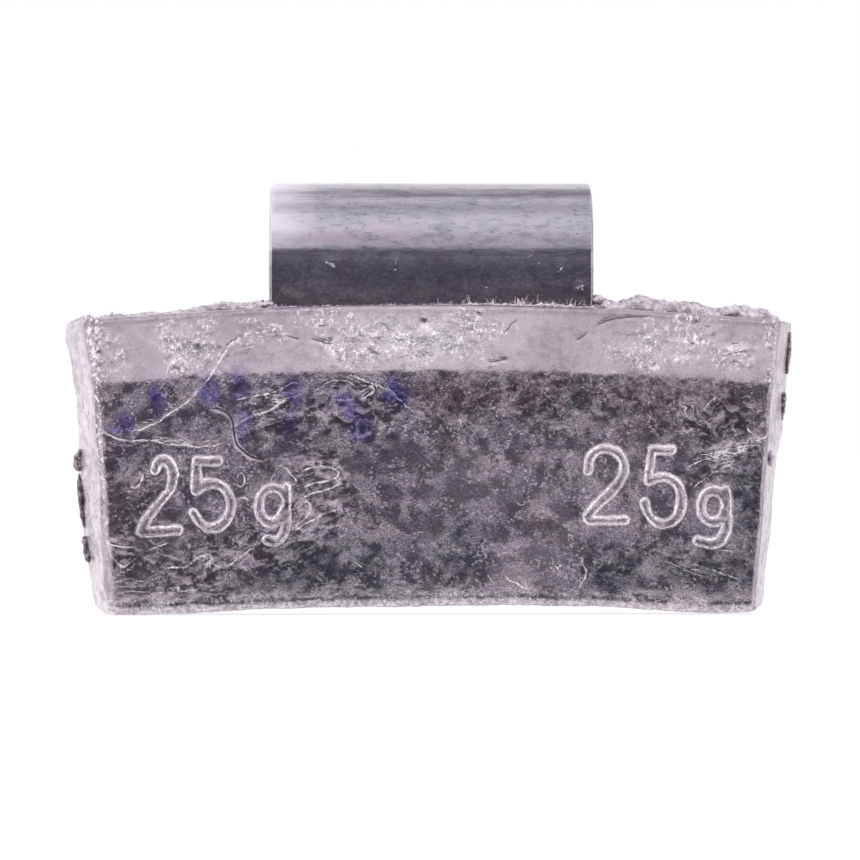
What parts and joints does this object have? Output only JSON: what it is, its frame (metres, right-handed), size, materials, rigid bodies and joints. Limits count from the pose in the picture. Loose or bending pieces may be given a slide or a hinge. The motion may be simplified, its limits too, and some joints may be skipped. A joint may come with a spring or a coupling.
{
  "type": "wheel balance weight",
  "caption": "Arc-shaped cast lead balance weight with a bevelled outer band and a bent spring-steel clip that grips the lip of an alloy wheel's rim flange.",
  "frame": {"origin": "centre of the clip's bend, where the lip of the rim flange sits, midway along the weight", "axes": "+X along the rim, +Y from the casting towards the far side of the flange, +Z away from the wheel's axis"},
  "size_m": [0.042, 0.0103, 0.0251],
  "materials": {
    "cast_lead": "dull grey cast lead with folds, dents, scratches and faint blue ink stains",
    "clip_steel": "rolled and plated spring-steel strip, streaked along its length, with small nicks"
  },
  "bodies": {
    "root": {"lead_casting": "cast_lead", "spring_clip": "clip_steel"}
  },
  "joints": []
}
